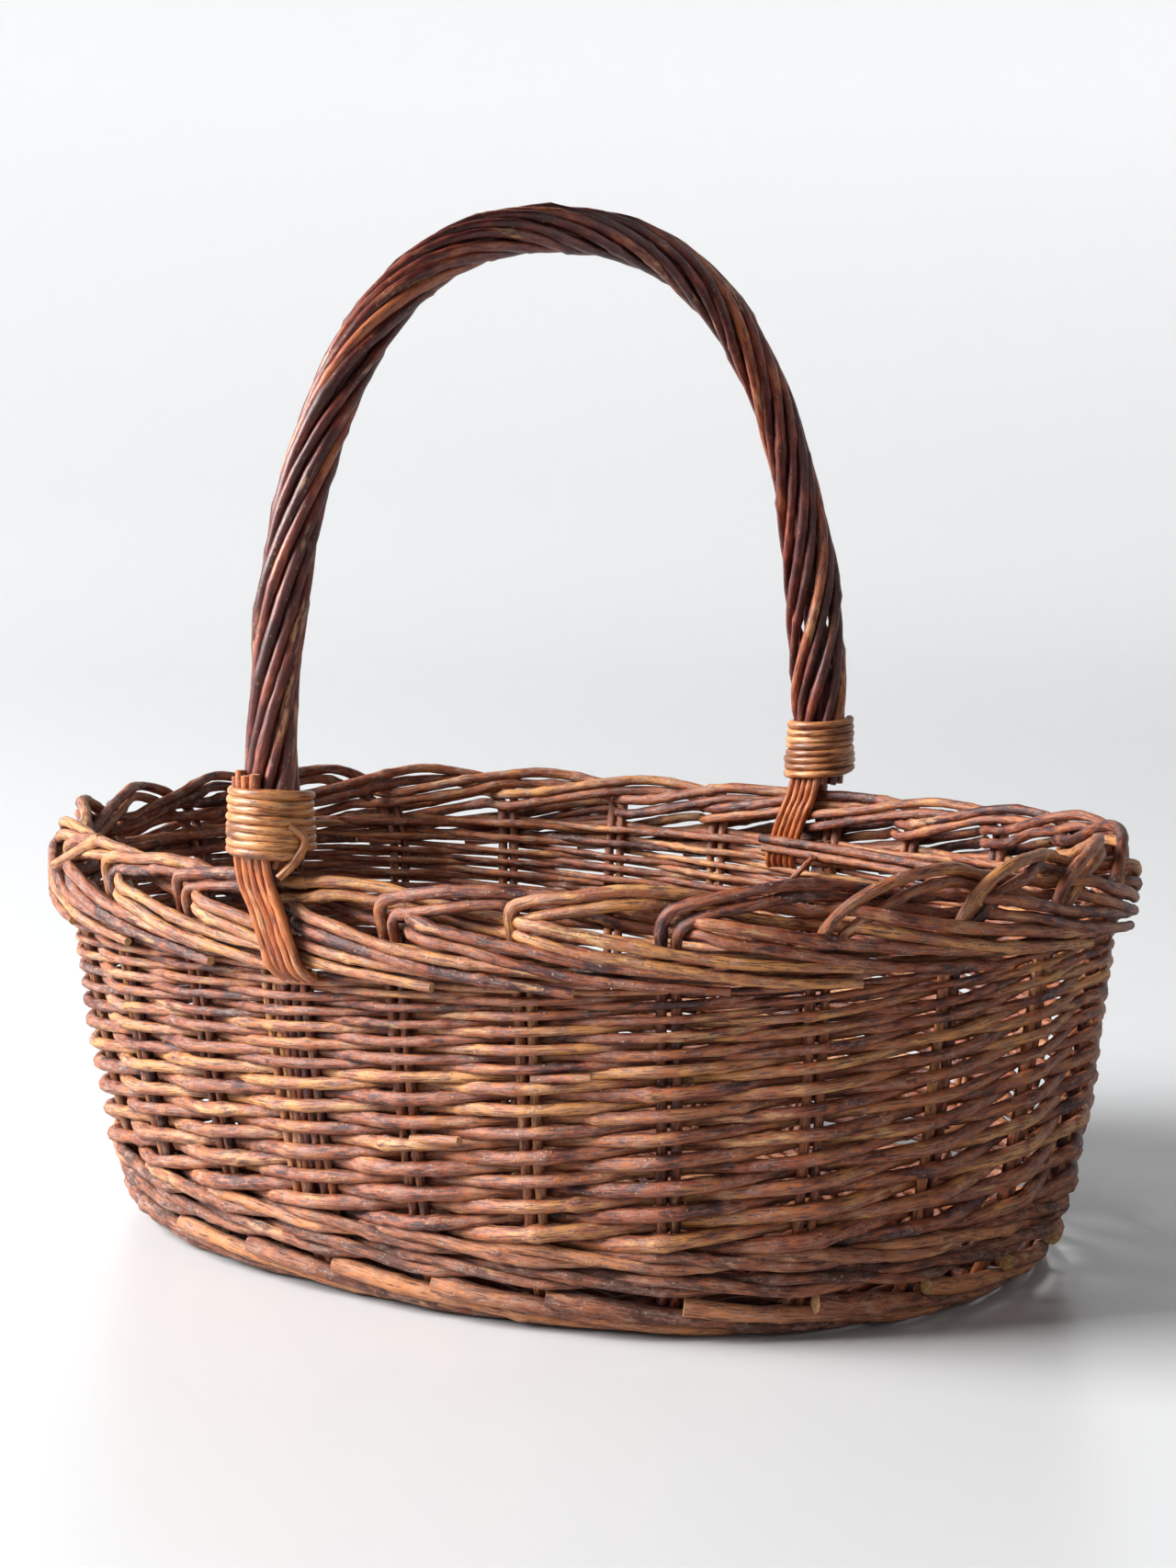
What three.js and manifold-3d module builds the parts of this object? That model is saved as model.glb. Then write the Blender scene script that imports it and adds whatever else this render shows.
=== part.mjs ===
// Oval willow basket with a roped handle over its short axis. Millimetres, +X along the basket, +Z up.
import * as THREE from "three";
import Module from "manifold-3d";

// Driving dimensions
const rimLength = 502;
const rimWidth = 397;
const rimHeight = 176; // top of the border over the middle of a long side
const endLean = 76; // how much shorter the foot is than the rim, both ends together
const sideLean = 85; // how much narrower, both sides together
const handleHeight = 432; // centre line of the handle at its highest
const endRise = 8; // how much higher the border lies at the two ends
const ovalPower = 2.3; // 2 would be an ellipse, more is squarer
const flarePower = 0.57; // under 1: the wall leans out fast at the foot, then stands up
const uprightCount = 24;
const gap = 0.35; // clearance between pieces that lie against each other

// Border round the rim
const borderHeight = 35;
const borderThick = 22;
const borderRidges = 4;
const borderStationsPerUpright = 3;
const borderTurns = 4; // whole turns that the ridges make on their way round
const borderGroove = 0.86; // how far out the grooves lie, as a share of the ridges
const wallInset = 4.5; // the wall's middle inside the border's middle

// Uprights: a stake and a bye-stake side by side
const stakeThick = 4.2;
const pairWidth = 8.6;
const pairShoulder = 0.6; // where the pair's flat faces end, as a share of its half width

// Weaving rods, thick at the foot and thin at the rim; a low wall makes them all thinner
const rowCount = 18;
const lowRod = 6.3;
const highRod = 3.1;
const footWaleRod = 6.2;
const footWaleCount = 3;
const topWaleRod = 4.9;
const topWaleCount = 2;

// Foot border and base
const footBorderHeight = 17;
const footBorderThick = 15;
const baseThick = 10;
const baseBottom = 3;
const baseStick = 6;
const baseMargin = 4; // ring of daylight between the base weave and the foot border
const longStickCount = 3;
const shortStickCount = 7;
const longStickStep = 30;
const shortStickStep = 42;

// Handle
const bowThick = 11.4;
const bowTipThick = 4;
const bowSides = 8;
const bowInset = 1.5; // the handle's feet inside the border's middle
const bowLevel = 0.45; // share of the border's height where the bow turns down into the wall
const bowGrowth = 2; // line points over which the bow's tip swells to its full thickness
const handlePower = 2.46;
const ropeRod = 5;
const ropeRodCount = 10;
const ropeTurns = 3.25;
const ropeLift = 3; // the rope's ends above the border
const bindingRod = 3;
const bindingTurns = 8;
const bindingSlack = 1.45; // between the rope and the rod wound round it
const bindingSpread = 4; // how much wider than deep the binding is
const tailRod = 3.8;
const tailCount = 5;
const tailPinch = 4.5; // how far the tails pull the border's outer face in
const pinchReach = 28;
const tailSlant = 10; // how far the tails run to one side on their way down
const tailTuck = 3.5; // how far their upper ends lean in over the border
const tailShoulder = 0.22; // share of the border's height where they start down its face
const tailKnee = 0.7; // share where they leave that face
const tailRidge = 0.3; // height of the ridge along each rod, as a share of its thickness
const tailBack = 0.4; // how far behind their line the tails are flat, as such a share

// Levels and half widths that follow from them
const borderBottom = rimHeight - borderHeight;
const wallBottom = footBorderHeight + gap;
const wallTop = borderBottom - gap;
const rimHalf = new THREE.Vector2(rimLength / 2, rimWidth / 2);
const footHalf = new THREE.Vector2((rimLength - endLean) / 2, (rimWidth - sideLean) / 2);
const borderHalf = rimHalf.clone().subScalar(borderThick / 2);
const wallTopHalf = borderHalf.clone().subScalar(wallInset);
const wallFootHalf = footHalf.clone().subScalar(footBorderThick / 2);
const handleHalf = borderHalf.y - bowInset;
const ropeRadius = bowThick / 2 + gap + ropeRod / 2;
const ropeFoot = rimHeight + gap + ropeLift;
const bowKnee = borderBottom + borderHeight * bowLevel;
const bindingDeep = 2 * (ropeRadius + ropeRod / 2 + bindingRod + bindingSlack);
const bindingWide = bindingDeep + bindingSpread;
const up = new THREE.Vector3(0, 0, 1);

const wasm = await Module();
wasm.setup();

// Point of an oval at a parameter angle.
function ovalPoint(half, angle) {
  const c = Math.cos(angle);
  const s = Math.sin(angle);
  const x = half.x * Math.sign(c) * Math.abs(c) ** (2 / ovalPower);
  const y = half.y * Math.sign(s) * Math.abs(s) ** (2 / ovalPower);
  return new THREE.Vector2(x, y);
}

// Outward normal of an oval, level with the ground.
function ovalNormal(half, angle) {
  const p = ovalPoint(half, angle);
  const nx = (Math.sign(p.x) * Math.abs(p.x / half.x) ** (ovalPower - 1)) / half.x;
  const ny = (Math.sign(p.y) * Math.abs(p.y / half.y) ** (ovalPower - 1)) / half.y;
  return new THREE.Vector3(nx, ny, 0).normalize();
}

// Parameter angles that lie an equal walk apart round an oval, starting under one handle foot.
function evenAngles(half, count) {
  const steps = 7200;
  const walk = [0];
  const start = -Math.PI / 2;
  let last = ovalPoint(half, start);
  for (let i = 1; i <= steps; i++) {
    const next = ovalPoint(half, start + (2 * Math.PI * i) / steps);
    walk.push(walk[i - 1] + next.distanceTo(last));
    last = next;
  }
  const angles = [];
  let at = 0;
  for (let i = 0; i < count; i++) {
    const wanted = (walk[steps] * i) / count;
    while (walk[at] < wanted) at++;
    angles.push(start + (2 * Math.PI * at) / steps);
  }
  return angles;
}

// Half length and half width of the wall's middle surface at a height.
function wallHalf(height) {
  const low = footBorderHeight / 2;
  const share = THREE.MathUtils.clamp((height - low) / (wallTop - low), 0, 1);
  return wallFootHalf.clone().lerp(wallTopHalf, share ** flarePower);
}

// The ends of the basket rise, more the higher up the wall.
function lifted(height, point, half) {
  const share = THREE.MathUtils.clamp((height - footBorderHeight) / (rimHeight - footBorderHeight), 0, 1);
  return height + endRise * share * (point.x / half.x) ** 2;
}

function onOval(half, angle, height, outwards) {
  const p = ovalPoint(half, angle);
  const n = ovalNormal(half, angle);
  const z = lifted(height, p, half);
  return new THREE.Vector3(p.x + n.x * outwards, p.y + n.y * outwards, z);
}

// A closed skin over outlines that all have the same number of points: a loop, or a rod with flat ends.
function skin(outlines, loop) {
  const sides = outlines[0].length;
  const points = outlines.flat();
  const faces = [];
  const spans = loop ? outlines.length : outlines.length - 1;
  for (let i = 0; i < spans; i++) {
    const here = i * sides;
    const there = ((i + 1) % outlines.length) * sides;
    for (let k = 0; k < sides; k++) {
      const next = (k + 1) % sides;
      faces.push([here + k, here + next, there + next], [here + k, there + next, there + k]);
    }
  }
  if (!loop) {
    const end = (outlines.length - 1) * sides;
    const firstCentre = points.push(centreOf(outlines[0])) - 1;
    const lastCentre = points.push(centreOf(outlines[outlines.length - 1])) - 1;
    for (let k = 0; k < sides; k++) {
      const next = (k + 1) % sides;
      faces.push([firstCentre, next, k], [lastCentre, end + k, end + next]);
    }
  }
  return facingOut(points, faces);
}

function centreOf(outline) {
  const sum = outline.reduce((total, p) => total.add(p), new THREE.Vector3());
  return sum.divideScalar(outline.length);
}

// Turns every face round if the skin encloses a negative volume.
function facingOut(points, faces) {
  let volume = 0;
  for (const [a, b, c] of faces) volume += points[a].dot(points[b].clone().cross(points[c]));
  const turned = volume < 0 ? faces.map(([a, b, c]) => [a, c, b]) : faces;
  const geometry = new THREE.BufferGeometry();
  const numbers = points.flatMap((p) => p.toArray());
  geometry.setAttribute("position", new THREE.Float32BufferAttribute(numbers, 3));
  geometry.setIndex(turned.flat());
  return geometry;
}

// An outline of points round a centre, in the plane of two directions.
function outlineAt(centre, across, along, halfAcross, halfAlong, sides, turn = 0) {
  const points = [];
  for (let k = 0; k < sides; k++) {
    const angle = turn + (2 * Math.PI * k) / sides;
    const p = centre.clone().addScaledVector(across, halfAcross * Math.cos(angle));
    points.push(p.addScaledVector(along, halfAlong * Math.sin(angle)));
  }
  return points;
}

// A round rod along points, its thickness given for each share of the way.
function rod(points, radiusAt, sides) {
  const outlines = points.map((p, i) => {
    const before = points[Math.max(i - 1, 0)];
    const after = points[Math.min(i + 1, points.length - 1)];
    const tangent = after.clone().sub(before).normalize();
    const hint = Math.abs(tangent.x) < 0.9 ? new THREE.Vector3(1, 0, 0) : up;
    const across = hint.clone().addScaledVector(tangent, -hint.dot(tangent)).normalize();
    const along = tangent.clone().cross(across);
    const radius = radiusAt(i / (points.length - 1));
    return outlineAt(p, across, along, radius, radius, sides, Math.PI / sides);
  });
  return skin(outlines, false);
}

function toSolid(geometry) {
  const vertProperties = new Float32Array(geometry.getAttribute("position").array);
  const triVerts = new Uint32Array(geometry.index.array);
  return new wasm.Manifold(new wasm.Mesh({ numProp: 3, vertProperties, triVerts }));
}

// Slivers narrower than a hundredth of a millimetre are merged away.
function toGeometry(solid) {
  const mesh = solid.simplify(0.01).getMesh();
  const geometry = new THREE.BufferGeometry();
  geometry.setAttribute("position", new THREE.Float32BufferAttribute(mesh.vertProperties, 3));
  geometry.setIndex(Array.from(mesh.triVerts));
  return geometry;
}

const group = new THREE.Group();
const bark = { colour: 0x6b4a36, roughness: 0.75 };
const handleBark = { colour: 0x4b2a20, roughness: 0.5 };
const paleRod = { colour: 0xa07a4e, roughness: 0.45 };
const footBark = { colour: 0x6e5a48, roughness: 0.85 };

function addPiece(name, geometry, look) {
  const finish = { color: look.colour, roughness: look.roughness, metalness: 0 };
  const material = new THREE.MeshStandardMaterial(finish);
  const mesh = new THREE.Mesh(geometry, material);
  mesh.name = name;
  group.add(mesh);
}

const uprightAngles = evenAngles(wallTopHalf, uprightCount);
const nearFoot = 0;
const farFoot = uprightCount / 2;

// A stake and its bye-stake, side by side, from the foot border up to the rim border.
function stakePair(angle) {
  const stations = 7;
  const outlines = [];
  for (let i = 0; i < stations; i++) {
    const share = (i / (stations - 1)) ** 1.5;
    const height = THREE.MathUtils.lerp(wallBottom, wallTop, share);
    const half = wallHalf(height);
    const outwards = ovalNormal(half, angle);
    const sideways = up.clone().cross(outwards);
    const centre = onOval(half, angle, height, 0);
    const flat = pairShoulder;
    const corners = [[-1, 0], [-flat, 1], [flat, 1], [1, 0], [flat, -1], [-flat, -1]];
    outlines.push(corners.map(([s, t]) => {
      const p = centre.clone().addScaledVector(sideways, (s * pairWidth) / 2);
      return p.addScaledVector(outwards, (t * stakeThick) / 2);
    }));
  }
  return skin(outlines, false);
}

uprightAngles.forEach((angle, i) => {
  if (i === nearFoot || i === farFoot) return;
  addPiece("stake_pair_" + String(i).padStart(2, "0"), stakePair(angle), bark);
});

// One weaving rod all the way round: outside the uprights that isOutside picks, inside the others.
function weavingRow(height, thick, isOutside) {
  const half = wallHalf(height);
  const spacing = (Math.PI * (half.x + half.y)) / uprightCount;
  const clear = stakeThick / 2 + thick / 2 + gap * 2;
  const offset = clear * (1 + pairWidth / (spacing - pairWidth));
  const outlines = uprightAngles.map((angle, i) => {
    const outwards = ovalNormal(half, angle);
    const centre = onOval(half, angle, height, isOutside(i) ? offset : -offset);
    return outlineAt(centre, outwards, up, thick / 2, thick / 2, 5);
  });
  return skin(outlines, true);
}

// All rounds share the wall's height between them.
const rowsThick = (rowCount * (lowRod + highRod)) / 2;
const walesThick = footWaleCount * footWaleRod + topWaleCount * topWaleRod;
const roundCount = rowCount + footWaleCount + topWaleCount;
const room = wallTop - wallBottom - roundCount * gap;
const thinning = Math.min(1, room / (rowsThick + walesThick));
const rowGap = (wallTop - wallBottom - (rowsThick + walesThick) * thinning) / roundCount;

// Stacks rows upwards from a height and returns the height they reach.
function stackRows(name, count, start, thickAt, isOutsideIn, look) {
  let height = start;
  for (let row = 0; row < count; row++) {
    const thick = thickAt(row / Math.max(count - 1, 1)) * thinning;
    height += thick / 2;
    const geometry = weavingRow(height, thick, (i) => isOutsideIn(i, row));
    addPiece(name + String(row + 1).padStart(2, "0"), geometry, look);
    height += thick / 2 + rowGap;
  }
  return height;
}

const inFrontOfTwo = (i, row) => (i + row) % 3 !== 0;
const inFrontOfOne = (i, row) => (i + row) % 2 === 0;
const taper = (share) => THREE.MathUtils.lerp(lowRod, highRod, share);

const footWaleThick = () => footWaleRod;
const topWaleThick = () => topWaleRod;

const sidingStart = stackRows("foot_wale_", footWaleCount, wallBottom, footWaleThick, inFrontOfTwo, footBark);
const sidingEnd = stackRows("siding_row_", rowCount, sidingStart, taper, inFrontOfOne, bark);
stackRows("top_wale_", topWaleCount, sidingEnd, topWaleThick, inFrontOfTwo, bark);

// The line of the handle: a hoop over two upright feet.
function handlePoint(angle, outwards = 0) {
  const c = Math.cos(angle);
  const s = Math.sin(angle);
  const rise = handleHeight - ropeFoot;
  const y = -(handleHalf + outwards) * Math.sign(c) * Math.abs(c) ** (2 / handlePower);
  const z = ropeFoot + (rise + outwards) * Math.abs(s) ** (2 / handlePower);
  return new THREE.Vector3(0, y, z);
}

// Points of the hoop an equal walk apart.
function hoopPoints(count) {
  const fine = [];
  for (let i = 0; i <= 1200; i++) fine.push(handlePoint((Math.PI * i) / 1200));
  const line = new THREE.CatmullRomCurve3(fine);
  line.arcLengthDivisions = 4000;
  return line.getSpacedPoints(count);
}

// The bow's feet run down inside the wall.
const footLevels = 8;
const footTop = wallTop - 2;

function footLine(side) {
  const points = [];
  const lowest = (wallBottom + wallTop) / 3;
  for (let i = 0; i < footLevels; i++) {
    const height = THREE.MathUtils.lerp(lowest, footTop, i / (footLevels - 1));
    points.push(new THREE.Vector3(0, side * wallHalf(height).y, height));
  }
  points.push(new THREE.Vector3(0, side * handleHalf, bowKnee));
  return points;
}

function bow() {
  const hoop = hoopPoints(30);
  const points = [...footLine(-1), ...hoop, ...footLine(1).reverse()];
  const thicknessAt = (share) => {
    const station = share * (points.length - 1);
    const fromEnd = Math.min(station, points.length - 1 - station);
    const grown = THREE.MathUtils.clamp((fromEnd - footLevels + 1) / bowGrowth, 0, 1);
    return THREE.MathUtils.lerp(bowTipThick, bowThick, grown) / 2;
  };
  return rod(points, thicknessAt, bowSides);
}

// The rods wound round the bow, lying side by side: a ridged sleeve that turns as it goes.
function ropeSleeve() {
  const stations = 42;
  const hoop = hoopPoints(stations);
  const outside = [];
  const inside = [];
  hoop.forEach((centre, i) => {
    const before = hoop[Math.max(i - 1, 0)];
    const after = hoop[Math.min(i + 1, stations)];
    const tangent = after.clone().sub(before).normalize();
    const across = new THREE.Vector3(1, 0, 0);
    const along = tangent.clone().cross(across).normalize();
    const turn = (2 * Math.PI * ropeTurns * i) / stations;
    const ridged = [];
    for (let k = 0; k < ropeRodCount * 2; k++) {
      const angle = turn + (Math.PI * k) / ropeRodCount;
      const radius = ropeRadius + (k % 2 === 0 ? ropeRod / 2 : ropeRod / 6);
      const p = centre.clone().addScaledVector(across, radius * Math.cos(angle));
      ridged.push(p.addScaledVector(along, radius * Math.sin(angle)));
    }
    outside.push(ridged);
    const hollow = (bowThick / 2 + gap) / Math.cos(Math.PI / bowSides);
    inside.push(outlineAt(centre, across, along, hollow, hollow, bowSides, Math.PI / bowSides));
  });
  const below = ropeFoot - ropeRod; // the hollow runs out through both ends
  inside.unshift(inside[0].map((p) => new THREE.Vector3(p.x, p.y, below)));
  inside.push(inside[inside.length - 1].map((p) => new THREE.Vector3(p.x, p.y, below)));
  return toGeometry(toSolid(skin(outside, false)).subtract(toSolid(skin(inside, false))));
}

addPiece("handle_bow", bow(), handleBark);
addPiece("handle_rope", ropeSleeve(), handleBark);

// A thin rod wound round one handle foot, just above the border.
function binding(side) {
  const perTurn = 10;
  const bulge = 1 / Math.cos(Math.PI / perTurn);
  const count = perTurn * bindingTurns;
  const pitch = bindingRod + gap;
  const start = ropeFoot + bindingRod + gap;
  const points = [];
  for (let i = 0; i <= count; i++) {
    const angle = (2 * Math.PI * i) / perTurn;
    const x = ((bindingWide - bindingRod) / 2) * bulge * Math.cos(angle);
    const y = ((bindingDeep - bindingRod) / 2) * Math.sin(angle);
    points.push(new THREE.Vector3(x, side * (handleHalf + y), start + (pitch * i) / perTurn));
  }
  return rod(points, () => bindingRod / 2, 4);
}

addPiece("near_binding", binding(-1), paleRod);
addPiece("far_binding", binding(1), paleRod);

// Ends of the rope rods, side by side, running down the border's outside (facing 1) or inside (facing -1).
function tails(side, facing) {
  const pinch = facing > 0 ? tailPinch : 0;
  const face = borderHalf.y + facing * (borderThick / 2 - pinch + tailRod / 2 + gap * 2);
  const tuck = wallTopHalf.y + facing * (stakeThick / 2 + topWaleRod + tailRod);
  const lean = -side * tailSlant;
  const besideBow = bowThick / 2 + gap + tailRod * tailBack;
  const leaning = Math.max(facing * (face - handleHalf) - tailTuck, besideBow);
  const line = [
    [handleHalf + facing * leaning, rimHeight + gap * 4, 0],
    [face, rimHeight - borderHeight * tailShoulder, 0.3],
    [face, rimHeight - borderHeight * tailKnee, 0.8],
    [(face + tuck) / 2 + facing, borderBottom - 1, 1],
  ];
  const halfWide = (tailRod * tailCount) / 2;
  const outlines = line.map(([y, z, share]) => {
    const points = [];
    for (let k = 0; k <= tailCount * 2; k++) {
      const x = -halfWide + (k * tailRod) / 2;
      const ridge = k % 2 === 0 ? 0.5 - tailRidge : 0.5;
      points.push(new THREE.Vector3(x + lean * share, side * (y + facing * tailRod * ridge), z));
    }
    const back = side * (y - facing * tailRod * tailBack);
    points.push(new THREE.Vector3(halfWide + lean * share, back, z));
    points.push(new THREE.Vector3(-halfWide + lean * share, back, z));
    return points;
  });
  return skin(outlines, false);
}

addPiece("near_tails", tails(-1, 1), handleBark);
addPiece("far_tails", tails(1, -1), handleBark);

// Rim border: the bent-over stakes as a ring of ridges that climb as they go round.
function rimBorder() {
  const stations = uprightCount * borderStationsPerUpright;
  const angles = evenAngles(borderHalf, stations);
  const middle = borderBottom + borderHeight / 2;
  const turnPerStation = (-2 * Math.PI * borderTurns) / stations;
  const outlines = angles.map((angle, i) => {
    const outwards = ovalNormal(borderHalf, angle);
    const centre = onOval(borderHalf, angle, middle, 0);
    const pinch = tailPinch * Math.exp(-((centre.x / pinchReach) ** 2));
    const points = [];
    for (let k = 0; k < borderRidges * 2; k++) {
      const around = turnPerStation * i + (Math.PI * k) / borderRidges;
      const reach = k % 2 === 0 ? 1 : borderGroove;
      const outer = Math.cos(around) > 0 ? borderThick / 2 - pinch : borderThick / 2;
      const p = centre.clone().addScaledVector(outwards, reach * outer * Math.cos(around));
      points.push(p.addScaledVector(up, (reach * borderHeight * Math.sin(around)) / 2));
    }
    return points;
  });
  let ring = toSolid(skin(outlines, true));
  for (const side of [-1, 1]) {
    const below = new THREE.Vector3(0, side * wallHalf(footTop).y, footTop);
    const inside = new THREE.Vector3(0, side * handleHalf, bowKnee);
    const above = new THREE.Vector3(0, side * handleHalf, ropeFoot + ropeLift);
    const holeThick = bowThick + gap * 4;
    ring = ring.subtract(toSolid(rod([below, inside, above], () => holeThick / 2, bowSides)));
  }
  return toGeometry(ring);
}

addPiece("rim_border", rimBorder(), bark);

// Foot border: thick rods plaited round the edge of the base, flat underneath.
function footBorder() {
  const half = footHalf.clone().subScalar(footBorderThick / 2);
  const angles = evenAngles(half, uprightCount * 2);
  const corners = [
    [-0.8, 0], [0.5, 0], [1, 0.28], [0.92, 0.6], [0.5, 1], [-0.4, 1], [-1, 0.7], [-1, 0.25],
  ];
  const outlines = angles.map((angle, i) => {
    const outwards = ovalNormal(half, angle);
    const p = ovalPoint(half, angle);
    const bulge = i % 2 === 0 ? 1 : 0.84;
    return corners.map(([across, high]) => {
      const reach = (across * bulge * footBorderThick) / 2;
      return new THREE.Vector3(p.x + outwards.x * reach, p.y + outwards.y * reach, high * footBorderHeight);
    });
  });
  return skin(outlines, true);
}

addPiece("foot_border", footBorder(), footBark);

// Base: long sticks crossed by short ones, and the weave that holds them.
function baseSticks(thick) {
  const height = baseBottom + baseThick / 2;
  const inner = footHalf.clone().subScalar(footBorderThick + gap * 2);
  let sticks = null;
  const lay = (from, to) => {
    const stick = toSolid(rod([from, to], () => thick / 2, 6));
    sticks = sticks ? sticks.add(stick) : stick;
  };
  for (let i = 0; i < longStickCount; i++) {
    const y = (i - (longStickCount - 1) / 2) * longStickStep;
    const reach = inner.x * (1 - (Math.abs(y) / inner.y) ** ovalPower) ** (1 / ovalPower) - gap;
    lay(new THREE.Vector3(-reach, y, height), new THREE.Vector3(reach, y, height));
  }
  for (let i = 0; i < shortStickCount; i++) {
    const x = (i - (shortStickCount - 1) / 2) * shortStickStep;
    const reach = inner.y * (1 - (Math.abs(x) / inner.x) ** ovalPower) ** (1 / ovalPower) - gap;
    lay(new THREE.Vector3(x, -reach, height), new THREE.Vector3(x, reach, height));
  }
  return sticks;
}

function baseWeave() {
  const half = footHalf.clone().subScalar(footBorderThick + baseMargin);
  const outline = (height) =>
    evenAngles(half, uprightCount * 2).map((angle) => {
      const p = ovalPoint(half, angle);
      return new THREE.Vector3(p.x, p.y, height);
    });
  const disc = toSolid(skin([outline(baseBottom), outline(baseBottom + baseThick)], false));
  return toGeometry(disc.subtract(baseSticks(baseStick + gap * 2)));
}

addPiece("base_sticks", toGeometry(baseSticks(baseStick)), footBark);
addPiece("base_weave", baseWeave(), bark);

// The origin is the middle of the box round everything, at the ground.
const box = new THREE.Box3().setFromObject(group, true);
const middle = box.getCenter(new THREE.Vector3());
group.position.set(-middle.x, -middle.y, -box.min.z);

export default group;
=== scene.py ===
import bisect
import bmesh
import bpy
import math
import random
from mathutils import Matrix, Vector, noise


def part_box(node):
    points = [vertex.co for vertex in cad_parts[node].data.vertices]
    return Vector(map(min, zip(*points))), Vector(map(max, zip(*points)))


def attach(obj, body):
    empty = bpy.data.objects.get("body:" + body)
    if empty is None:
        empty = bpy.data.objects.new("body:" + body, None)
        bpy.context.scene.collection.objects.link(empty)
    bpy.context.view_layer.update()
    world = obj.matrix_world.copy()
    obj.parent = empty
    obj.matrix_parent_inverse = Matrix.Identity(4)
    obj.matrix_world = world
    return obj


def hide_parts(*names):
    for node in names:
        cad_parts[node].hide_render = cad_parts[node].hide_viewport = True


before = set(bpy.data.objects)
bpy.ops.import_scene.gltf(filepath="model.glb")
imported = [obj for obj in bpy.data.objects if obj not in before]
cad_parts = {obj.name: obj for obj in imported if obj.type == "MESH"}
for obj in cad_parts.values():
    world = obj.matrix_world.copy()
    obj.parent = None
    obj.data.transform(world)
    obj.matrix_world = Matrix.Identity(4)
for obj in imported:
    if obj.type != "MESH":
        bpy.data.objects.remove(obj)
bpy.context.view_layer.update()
scene = bpy.context.scene
mm = 0.001
dice = random.Random(41)
noise.seed_set(41)  # otherwise noise_vector starts from the clock

# Camera first: three quarters on to the long side, a little above the rim
cameraView = {
    "place": (0.84286, -1.02128, 0.33675),
    "target": (0.0, 0.0, 0.1915),
    "lens": 93.5,
    "roll": -0.45,
    "shiftX": 0.011,
    "shiftY": 0.005,
}


def addCamera(view):
    data = bpy.data.cameras.new("camera")
    data.sensor_width = 36
    data.sensor_fit = "HORIZONTAL"
    data.lens = view["lens"]
    data.shift_x = view["shiftX"]
    data.shift_y = view["shiftY"]
    camera = bpy.data.objects.new("camera", data)
    scene.collection.objects.link(camera)
    place = Vector(view["place"])
    aim = (Vector(view["target"]) - place).to_track_quat("-Z", "Y").to_matrix().to_4x4()
    roll = Matrix.Rotation(math.radians(view["roll"]), 4, "Z")
    camera.matrix_world = Matrix.Translation(place) @ aim @ roll
    scene.camera = camera


addCamera(cameraView)
print("camera placed")


# Plain number helpers
def lerp(low, high, share):
    return low + (high - low) * share


def clamp(value, low=0.0, high=1.0):
    return min(max(value, low), high)


def ease(share):
    share = clamp(share)
    return share * share * (3 - 2 * share)


def sway(place, seed, size):
    return noise.noise(Vector((place, seed * 7.13, seed * 3.71))) * size


# The basket's shape, the same oval and flare as the frame
basket = {
    "uprights": 24,
    "ovalPower": 2.3,
    "flarePower": 0.57,
    "endRise": 8 * mm,
    "borderThick": 22 * mm,
    "wallInset": 4.5 * mm,
    "footThick": 15 * mm,
    "footHeight": 17 * mm,
}
rimLow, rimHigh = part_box("rim_border")
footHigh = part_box("foot_border")[1]
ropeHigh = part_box("handle_rope")[1]
uprights = basket["uprights"]
borderBottom = rimLow.z
rimTop = rimHigh.z - basket["endRise"]
inset = basket["borderThick"] / 2 + basket["wallInset"]
topHalf = (rimHigh.x - inset, rimHigh.y - inset)
footHalf = (footHigh.x - basket["footThick"] / 2, footHigh.y - basket["footThick"] / 2)


def ovalPoint(half, angle):
    c, s = math.cos(angle), math.sin(angle)
    power = 2 / basket["ovalPower"]
    return half[0] * math.copysign(abs(c) ** power, c), half[1] * math.copysign(abs(s) ** power, s)


def walkRound(half, steps=5760):
    start = -math.pi / 2
    angles = [start + 2 * math.pi * i / steps for i in range(steps + 1)]
    points = [ovalPoint(half, angle) for angle in angles]
    walked = [0.0]
    for before, after in zip(points, points[1:]):
        walked.append(walked[-1] + math.dist(before, after))
    return angles, walked


roundAngles, roundWalk = walkRound(topHalf)


# Places round the basket are counted in uprights, from the near foot of the handle towards +X
def angleAt(station):
    wanted = (station % uprights) / uprights * roundWalk[-1]
    i = min(max(bisect.bisect_right(roundWalk, wanted), 1), len(roundWalk) - 1)
    share = (wanted - roundWalk[i - 1]) / (roundWalk[i] - roundWalk[i - 1])
    return lerp(roundAngles[i - 1], roundAngles[i], share)


def halfAt(height):
    low = basket["footHeight"] / 2
    share = clamp((height - low) / (borderBottom - low)) ** basket["flarePower"]
    return lerp(footHalf[0], topHalf[0], share), lerp(footHalf[1], topHalf[1], share)


def wallPoint(station, height, out=0.0):
    half = halfAt(height)
    x, y = ovalPoint(half, angleAt(station))
    power = basket["ovalPower"] - 1
    nx = math.copysign(abs(x / half[0]) ** power, x) / half[0]
    ny = math.copysign(abs(y / half[1]) ** power, y) / half[1]
    length = math.hypot(nx, ny)
    foot = basket["footHeight"]
    rise = basket["endRise"] * clamp((height - foot) / (rimTop - foot)) * (x / half[0]) ** 2
    return Vector((x + nx / length * out, y + ny / length * out, height + rise))


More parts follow.
